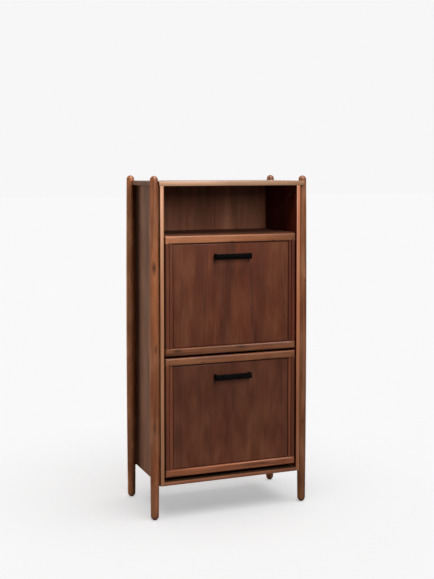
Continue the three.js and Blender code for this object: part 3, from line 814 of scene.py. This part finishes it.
def make_field(door, left, right, bottom, top, front, material):
    """The raised field on its backing: nested rectangles from the back round to the face."""

    def ring(side, below, above, depth):
        y = front + depth
        return [(left + side, y, bottom + below), (right - side, y, bottom + below),
                (right - side, y, top - above), (left + side, y, top - above)]

    rings = [
        ring(0, TOUCH, TOUCH, PANEL_BACK_DEPTH),
        ring(0, TOUCH, TOUCH, GROOVE_DEPTH),
        ring(SIDE_GROOVE, BOTTOM_GROOVE, TOP_GROOVE, GROOVE_DEPTH),
    ]
    for inwards, backwards in quarter_turn(FIELD_ROUND_STEPS):
        inset = PANEL_ROUND * inwards
        depth = FACE_DEPTH + PANEL_ROUND * backwards
        rings.append(ring(SIDE_GROOVE + inset, BOTTOM_GROOVE + inset, TOP_GROOVE + inset, depth))
    bm = bmesh.new()
    loops = [[bm.verts.new(point) for point in points] for points in rings]
    for outer, inner in zip(loops, loops[1:]):
        for i in range(4):
            j = (i + 1) % 4
            bm.faces.new((outer[i], outer[j], inner[j], inner[i]))
    bm.faces.new(loops[0][::-1])
    bm.faces.new(loops[-1])
    return place(door + "_fielded_panel", bm, material, door + "_door",
                 (door + "_door_panel",))


def bead_profile():
    """How far from the stile, and how deep below the frame's face, the bead's outline runs."""
    outer, inner = BEAD_LINE, BEAD_LINE + BEAD_WIDTH
    profile = [(TOUCH, PANEL_BACK_DEPTH), (TOUCH, GROOVE_DEPTH), (outer, GROOVE_DEPTH)]
    turn = [(PANEL_ROUND * inwards, FACE_DEPTH + PANEL_ROUND * backwards)
            for inwards, backwards in quarter_turn(BEAD_ROUND_STEPS)]
    profile += [(outer + inset, depth) for inset, depth in turn]
    profile += [(inner - inset, depth) for inset, depth in reversed(turn)]
    profile.append((inner, PANEL_BACK_DEPTH))
    return profile


def make_bead(door, side, start, inward, bottom, top, front):
    """A flat bead between a stile and the field. start is the stile's inner face."""
    seed = DOOR_SEEDS[door] + BEAD_SEEDS[side]
    material = wood(f"{door}_bead_{side}_wood", 2, BEAD_TONES[door, side], seed, contrast=1.1,
                    streaks=0.5, gloss=0.38)
    profile = bead_profile()
    bm = bmesh.new()
    low, high = [
        [bm.verts.new((start + inward * across, front + depth, z)) for across, depth in profile]
        for z in (bottom + TOUCH, top - TOUCH)
    ]
    count = len(profile)
    for i in range(count):
        j = (i + 1) % count
        bm.faces.new((low[i], low[j], high[j], high[i]))
    bm.faces.new(low[::-1])
    bm.faces.new(high)
    return place(f"{door}_bead_{side}", bm, material, door + "_door")


def make_panel(door):
    """The veneered field and its two beads, with painted shade in the top and right grooves."""
    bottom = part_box(door + "_bottom_rail")[1].z
    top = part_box(door + "_top_rail")[0].z
    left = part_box(door + "_stile_left")[1].x
    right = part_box(door + "_stile_right")[0].x
    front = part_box(door + "_stile_left")[0].y
    tone, seed = PANEL_TONES[door], DOOR_SEEDS[door] + PANEL_SEED
    veneer = wood(door + "_panel_veneer", 2, tone, seed, contrast=PANEL_CONTRAST[door],
                  streaks=0.3, gloss=0.40, pores=0.6, sheen=0.25, ends=PANEL_ENDS[door],
                  span=(bottom, top), blotches=0.07)
    groove_shade = wood(door + "_groove_painted_shade_wood", 2, tinted(tone, GROOVE_PAINTED_SHADE), seed, contrast=0.95,
                   streaks=0.3, gloss=0.5, sheen=0.1)
    reach = BEAD_LINE + BEAD_WIDTH + TOUCH
    field = make_field(door, left + reach, right - reach, bottom, top, front, veneer)
    make_bead(door, "left", left, 1, bottom, top, front)
    right_bead = make_bead(door, "right", right, -1, bottom, top, front)

    groove_front = front + FACE_DEPTH + 0.9 * PANEL_ROUND
    groove_back = front + GROOVE_DEPTH + TOUCH

    def in_shaded_groove(face):
        above_or_right = face.center.x > right - 2 * reach or face.center.z > top - 2 * TOP_GROOVE
        return above_or_right and groove_front < face.center.y < groove_back

    # Painted shade: the top and right grooves and the right bead's sunk faces get a darker copy of
    # the veneer.
    face_with(field, groove_shade, in_shaded_groove)
    face_with(right_bead, groove_shade, lambda face: face.center.y > groove_front)


def make_screws(name, places, body):
    """Several screw heads as one piece. places are pairs of a point and a facing."""
    heads = joined([screw_head_at(point, facing) for point, facing in places])
    place(name, heads, zinc_steel, body)


def make_bracket_screws(door, side, sign):
    """The screws that hold a bracket to the door, the shelves to it, and its plate to the case."""
    pivot = PIVOTS[door]
    bracket_low, bracket_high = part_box(f"{door}_bracket_{side}")
    plate_low, plate_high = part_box(f"{door}_hinge_plate_{side}")
    outer = bracket_high.x if sign > 0 else bracket_low.x
    wall = plate_high.x if sign > 0 else plate_low.x

    flange_x = outer - sign * FLANGE_SCREW_INSET
    flange_y = pivot.y + FLANGE_BACK
    into_door = [((flange_x, flange_y, pivot.z + z), (0, 1, 0)) for z in FLANGE_SCREW_HEIGHTS]
    make_screws(f"{door}_flange_screws_{side}", into_door, door + "_door")

    into_shelves = []
    for tier in (0, 1):
        for y in SHELF_SCREW_REACHES:
            z = SHELF_SCREW_START + SHELF_SPACING * tier + y * math.tan(SHELF_SLOPE)
            into_shelves.append(((outer, pivot.y + y, pivot.z + z), (sign, 0, 0)))
    make_screws(f"{door}_shelf_screws_{side}", into_shelves, door + "_door")

    face = wall - sign * HINGE_PLATE_THICKNESS
    into_case = [((face, pivot.y + y, pivot.z + z), (-sign, 0, 0)) for y, z in PLATE_SCREWS]
    make_screws(f"{door}_plate_screws_{side}", into_case, "case")


def make_handle_screw(door, side):
    low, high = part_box(f"{door}_handle_screw_{side}")
    centre = (low + high) / 2
    underside = (centre.x, high.y - HANDLE_SCREW_HEAD_HEIGHT, centre.z)
    head = screw_head_at(underside, (0, 1, 0), HANDLE_SCREW_HEAD_RADIUS, HANDLE_SCREW_HEAD_HEIGHT)
    place(f"{door}_handle_screw_{side}_head", head, zinc_steel, door + "_door",
          (f"{door}_handle_screw_{side}",))


def make_fittings(door):
    body = door + "_door"
    softened_copy(door + "_handle", handle_coats[door], body, HANDLE_ROUND, 3)
    for side, sign in SIDES:
        bracket, plate = f"{door}_bracket_{side}", f"{door}_hinge_plate_{side}"
        softened_copy(bracket, black_metal, body, BRACKET_ROUND, 1)
        softened_copy(plate, zinc_steel, "case", HINGE_PLATE_ROUND, 1)
        make_bracket_screws(door, side, sign)
        make_handle_screw(door, side)


def make_shelves(door):
    for tier, tier_seed in SHELF_SEEDS.items():
        for part in ("shelf", "shelf_lip"):
            node = f"{door}_{tier}_{part}"
            seed = DOOR_SEEDS[door] + tier_seed
            material = wood(node + "_board", 0, SHOE_SHELF_TONE, seed, contrast=0.7, streaks=0.2,
                            gloss=0.5)
            softened_copy(node, material, door + "_door", SHELF_ROUND)


def make_door(door):
    for side, sign in SIDES:
        make_stile(door, side, sign)
    make_rail(door, "top")
    make_rail(door, "bottom")
    make_panel(door)
    make_fittings(door)
    make_shelves(door)


# ---------------------------------------------------------------- stage, light and camera

WHITE = 0.93  # the brightness of the backdrop and the open floor
FLOOR_GLOW = 0.40  # the part of it that comes through the floor, as on a light table
FLOOR_GAIN = 1.03  # makes up for the light that the cabinet keeps from the floor
FLOOR_HALF_SIZE = 40
FLOOR_SHADES = (0.997, 1.003)
BOUNCE_ALBEDO = 0.30
SUN_STRENGTH = 1.6
SUN_SPREAD = math.radians(60)
SUN_DIRECTION = Vector((0.06, -0.22, 1.0))  # from the cabinet towards the light
SKY_FRONT = 0.10
SKY_BACK = 0.30
SKY_TURN = 0.5  # how far to the front and to the back the sky's strength goes on changing

# Each softbox's place, the point it faces, its width and height, and its power in watts.
SOFTBOXES = {
    "front": ((0.30, -2.8, 2.3), (0, 0, 0.7), 1.0, 1.7, 58),
    "top": ((0.05, -0.7, 2.9), (0, 0, 1.0), 1.0, 0.8, 45),
    "rear_left": ((-1.7, 2.6, 0.9), (-0.2, 0, 0.7), 1.2, 2.0, 200),
    "left": ((-2.56, -0.74, 0.62), (-0.28, 0, 0.62), 0.5, 1.7, 32),
    "back": ((1.1, 2.8, 1.6), (0, 0, 1.2), 2.0, 1.0, 12),
}
LEFT_POSTS = ("turned_post_front_left", "turned_post_rear_left")
LIT_ALONE = {"left": LEFT_POSTS, "back": ("top_panel_finished",)}  # what these softboxes light
WITHOUT_REFLECTION = ("rear_left", "left")

CAMERA_PLACE = (-1.373, -3.4845, 1.2259)
CAMERA_AZIMUTH = math.radians(-21.51)
CAMERA_PITCH = math.radians(2.89)
CAMERA_LENS = 63.7  # in millimetres, and so is the sensor
CAMERA_SENSOR_WIDTH = 36
CAMERA_SHIFT_Y = -0.12


def make_stage():
    """A white floor. Only the camera sees its full brightness; it bounces little light."""
    bm = bmesh.new()
    bmesh.ops.create_grid(bm, x_segments=1, y_segments=1, size=FLOOR_HALF_SIZE)
    mesh = bpy.data.meshes.new("floor")
    bm.to_mesh(mesh)
    bm.free()
    fallen = SUN_STRENGTH * SUN_DIRECTION.normalized().z / math.pi + (SKY_FRONT + SKY_BACK) / 2
    albedo = FLOOR_GAIN * (WHITE - FLOOR_GLOW) / fallen
    darker, lighter = [(albedo * gain,) * 3 for gain in FLOOR_SHADES]
    g = Graph("floor_white")
    cloud = g.noise(g.stretched(), scale=3, detail=2)
    g.link(g.ramp(cloud, ((0.3, darker), (0.7, lighter))), g.shader.inputs["Base Color"])
    g.set(Roughness=1.0, Specular_IOR_Level=0.0, Emission_Strength=FLOOR_GLOW,
          Emission_Color=(1, 1, 1, 1))
    dim = g.add("ShaderNodeBsdfDiffuse")
    dim.inputs["Color"].default_value = (BOUNCE_ALBEDO,) * 3 + (1,)
    choose = g.add("ShaderNodeMixShader")
    g.link(g.add("ShaderNodeLightPath").outputs["Is Camera Ray"], choose.inputs[0])
    g.link(dim.outputs[0], choose.inputs[1])
    g.link(g.shader.outputs[0], choose.inputs[2])
    g.link(choose.outputs[0], g.tree.nodes["Material Output"].inputs["Surface"])
    mesh.materials.append(g.material)
    floor = bpy.data.objects.new("floor", mesh)
    bpy.context.scene.collection.objects.link(floor)


def make_lamp(name, data, direction):
    """A lamp that shines against the direction, which points from the cabinet towards it."""
    lamp = bpy.data.objects.new(name, data)
    lamp.rotation_mode = "QUATERNION"
    lamp.rotation_quaternion = direction.to_track_quat("Z", "Y")
    bpy.context.scene.collection.objects.link(lamp)
    return lamp


def make_softbox(name, lit):
    """A rectangular softbox that lights only the things in lit, and no part of the floor."""
    location, aim, width, height, power = SOFTBOXES[name]
    data = bpy.data.lights.new(name + "_softbox", "AREA")
    data.shape = "RECTANGLE"
    data.size = width
    data.size_y = height
    data.energy = power
    lamp = make_lamp(name + "_softbox", data, Vector(location) - Vector(aim))
    lamp.location = location
    lamp.light_linking.receiver_collection = lit
    lamp.visible_camera = False
    lamp.visible_glossy = name not in WITHOUT_REFLECTION


def make_softboxes():
    """Softboxes for the whole cabinet, and two that each light a few of its pieces."""
    cabinet = [
        thing for thing in bpy.context.scene.objects
        if thing.type == "MESH" and thing.name != "floor"
    ]
    for name in SOFTBOXES:
        lit = bpy.data.collections.new("lit_by_" + name)
        for thing in cabinet:
            if name not in LIT_ALONE or thing.name in LIT_ALONE[name]:
                lit.objects.link(thing)
        make_softbox(name, lit)


def make_overhead_light():
    """A broad sun, which gives the cabinet its soft shadow on the floor."""
    data = bpy.data.lights.new("overhead", "SUN")
    data.energy = SUN_STRENGTH
    data.angle = SUN_SPREAD
    make_lamp("overhead", data, SUN_DIRECTION)


def make_surround():
    """A surround that is brighter behind, and an even white where the camera sees it."""
    world = bpy.data.worlds.new("surround")
    world.use_nodes = True
    nodes, links = world.node_tree.nodes, world.node_tree.links
    coords = nodes.new("ShaderNodeTexCoord")
    split = nodes.new("ShaderNodeSeparateXYZ")
    links.new(coords.outputs["Generated"], split.inputs[0])
    level = nodes.new("ShaderNodeMapRange")
    level.inputs["From Min"].default_value = -SKY_TURN
    level.inputs["From Max"].default_value = SKY_TURN
    level.inputs["To Min"].default_value = SKY_FRONT
    level.inputs["To Max"].default_value = SKY_BACK
    links.new(split.outputs["Y"], level.inputs["Value"])
    surround = nodes["Background"]
    surround.inputs["Color"].default_value = (1, 1, 1, 1)
    links.new(level.outputs["Result"], surround.inputs["Strength"])
    seen = nodes.new("ShaderNodeBackground")
    seen.inputs["Color"].default_value = (1, 1, 1, 1)
    seen.inputs["Strength"].default_value = WHITE
    rays = nodes.new("ShaderNodeLightPath")
    choose = nodes.new("ShaderNodeMixShader")
    links.new(rays.outputs["Is Camera Ray"], choose.inputs[0])
    links.new(surround.outputs[0], choose.inputs[1])
    links.new(seen.outputs[0], choose.inputs[2])
    links.new(choose.outputs[0], nodes["World Output"].inputs["Surface"])
    bpy.context.scene.world = world
    bpy.context.scene.view_settings.view_transform = "Standard"


def make_camera():
    data = bpy.data.cameras.new("camera")
    data.sensor_width = CAMERA_SENSOR_WIDTH
    data.lens = CAMERA_LENS
    data.shift_y = CAMERA_SHIFT_Y
    camera = bpy.data.objects.new("camera", data)
    camera.location = CAMERA_PLACE
    camera.rotation_euler = (math.pi / 2 - CAMERA_PITCH, 0, CAMERA_AZIMUTH)
    bpy.context.scene.collection.objects.link(camera)
    bpy.context.scene.camera = camera


make_camera()
make_stage()
make_case()
for door in DOORS:
    make_door(door)
make_softboxes()
make_overhead_light()
make_surround()
